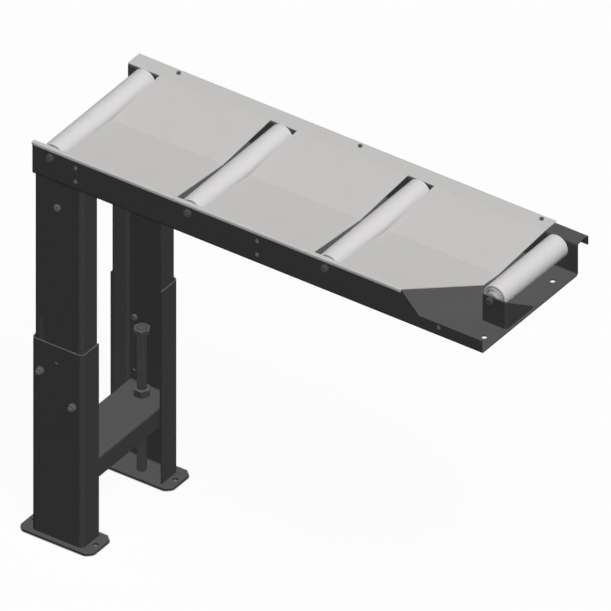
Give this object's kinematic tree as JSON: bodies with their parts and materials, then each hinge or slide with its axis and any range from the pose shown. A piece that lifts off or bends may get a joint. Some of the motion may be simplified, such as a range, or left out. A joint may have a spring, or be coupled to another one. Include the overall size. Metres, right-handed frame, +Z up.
{
  "type": "roller conveyor",
  "caption": "Roller conveyor bed with a sheet drip tray, free-turning rollers and height-adjustable jack legs at one end, bolted to a machine at the other.",
  "frame": {"origin": "midway between the two machine bolt holes, on the underside of the bed pan", "axes": "+X along the bed to the machine, +Y to the flanged far side, +Z up"},
  "size_m": [1.058, 0.3621, 0.9],
  "materials": {
    "frame_paint": "dark grey powder coat on bent sheet steel",
    "tray_sheet": "bright galvanised sheet, matt",
    "roller_steel": "ground bright zinc-plated tube",
    "cup_steel": "turned zinc-plated steel",
    "bearing_steel": "ground bearing steel",
    "bearing_shield": "pressed steel shield",
    "axle_steel": "turned bright steel",
    "fastener_black": "black oxide steel",
    "fastener_zinc": "dull zinc-plated steel",
    "jack_black": "black oxide steel, lightly oiled"
  },
  "bodies": {
    "bed": {"bed_pan": "frame_paint", "drip_tray": "tray_sheet", "tray_screws": "fastener_black", "tray_nuts": "fastener_black", "end_bracket": "frame_paint", "axle_1": "axle_steel", "axle_2": "axle_steel", "axle_3": "axle_steel", "axle_4": "axle_steel", "axle_collars": "axle_steel", "bearing_inner_races": "bearing_steel", "axle_bolts": "fastener_black", "axle_washers": "fastener_black", "upper_post_near": "frame_paint", "upper_post_far": "frame_paint", "crossbar": "frame_paint", "jack_lock_nuts": "jack_black", "jack_weld_nuts": "jack_black", "hanger_near": "frame_paint", "hanger_far": "frame_paint", "hanger_bolts": "fastener_zinc", "hanger_washers": "fastener_zinc", "hanger_nuts": "fastener_zinc"},
    "roller_1": {"roller_1_tube": "roller_steel", "roller_1_end_cups": "cup_steel", "roller_1_outer_races": "bearing_steel", "roller_1_balls": "bearing_steel", "roller_1_shields": "bearing_shield"},
    "roller_2": {"roller_2_tube": "roller_steel", "roller_2_end_cups": "cup_steel", "roller_2_outer_races": "bearing_steel", "roller_2_balls": "bearing_steel", "roller_2_shields": "bearing_shield"},
    "roller_3": {"roller_3_tube": "roller_steel", "roller_3_end_cups": "cup_steel", "roller_3_outer_races": "bearing_steel", "roller_3_balls": "bearing_steel", "roller_3_shields": "bearing_shield"},
    "roller_4": {"roller_4_tube": "roller_steel", "roller_4_end_cups": "cup_steel", "roller_4_outer_races": "bearing_steel", "roller_4_balls": "bearing_steel", "roller_4_shields": "bearing_shield"},
    "leg_near": {"lower_post_near": "frame_paint", "foot_plate_near": "frame_paint", "clamp_studs_near": "fastener_zinc", "clamp_washers_near": "fastener_zinc", "clamp_nuts_near": "fastener_zinc"},
    "jack_near": {"jack_screw_near": "jack_black", "jack_head_nut_near": "jack_black"},
    "leg_far": {"lower_post_far": "frame_paint", "foot_plate_far": "frame_paint", "clamp_studs_far": "fastener_zinc", "clamp_washers_far": "fastener_zinc", "clamp_nuts_far": "fastener_zinc"},
    "jack_far": {"jack_screw_far": "jack_black", "jack_head_nut_far": "jack_black"}
  },
  "joints": [
    {"name": "roller_1_spin", "type": "hinge", "parent": "bed", "child": "roller_1", "pos_m": [-0.9615, 0, 0.055], "axis": [0, 1, 0], "continuous": true},
    {"name": "roller_2_spin", "type": "hinge", "parent": "bed", "child": "roller_2", "pos_m": [-0.6465, 0, 0.055], "axis": [0, 1, 0], "continuous": true},
    {"name": "roller_3_spin", "type": "hinge", "parent": "bed", "child": "roller_3", "pos_m": [-0.3315, 0, 0.055], "axis": [0, 1, 0], "continuous": true},
    {"name": "roller_4_spin", "type": "hinge", "parent": "bed", "child": "roller_4", "pos_m": [-0.0165, 0, 0.055], "axis": [0, 1, 0], "continuous": true},
    {"name": "leg_near_slide", "type": "slide", "parent": "bed", "child": "leg_near", "axis": [0, 0, 1], "range_m": [-0.118, 0.118]},
    {"name": "jack_near_turn", "type": "hinge", "parent": "leg_near", "child": "jack_near", "pos_m": [-0.9485, -0.1215, -0.815], "axis": [0, 0, 1], "range_deg": [-16993, 16993]},
    {"name": "leg_far_slide", "type": "slide", "parent": "bed", "child": "leg_far", "axis": [0, 0, 1], "range_m": [-0.118, 0.118]},
    {"name": "jack_far_turn", "type": "hinge", "parent": "leg_far", "child": "jack_far", "pos_m": [-0.9485, 0.1215, -0.815], "axis": [0, 0, 1], "range_deg": [-16993, 16993]}
  ],
  "couplings": [
    {"joint": "jack_near_turn", "follows": "leg_near_slide", "rad_per_m": 2513.3},
    {"joint": "jack_far_turn", "follows": "leg_far_slide", "rad_per_m": 2513.3}
  ]
}
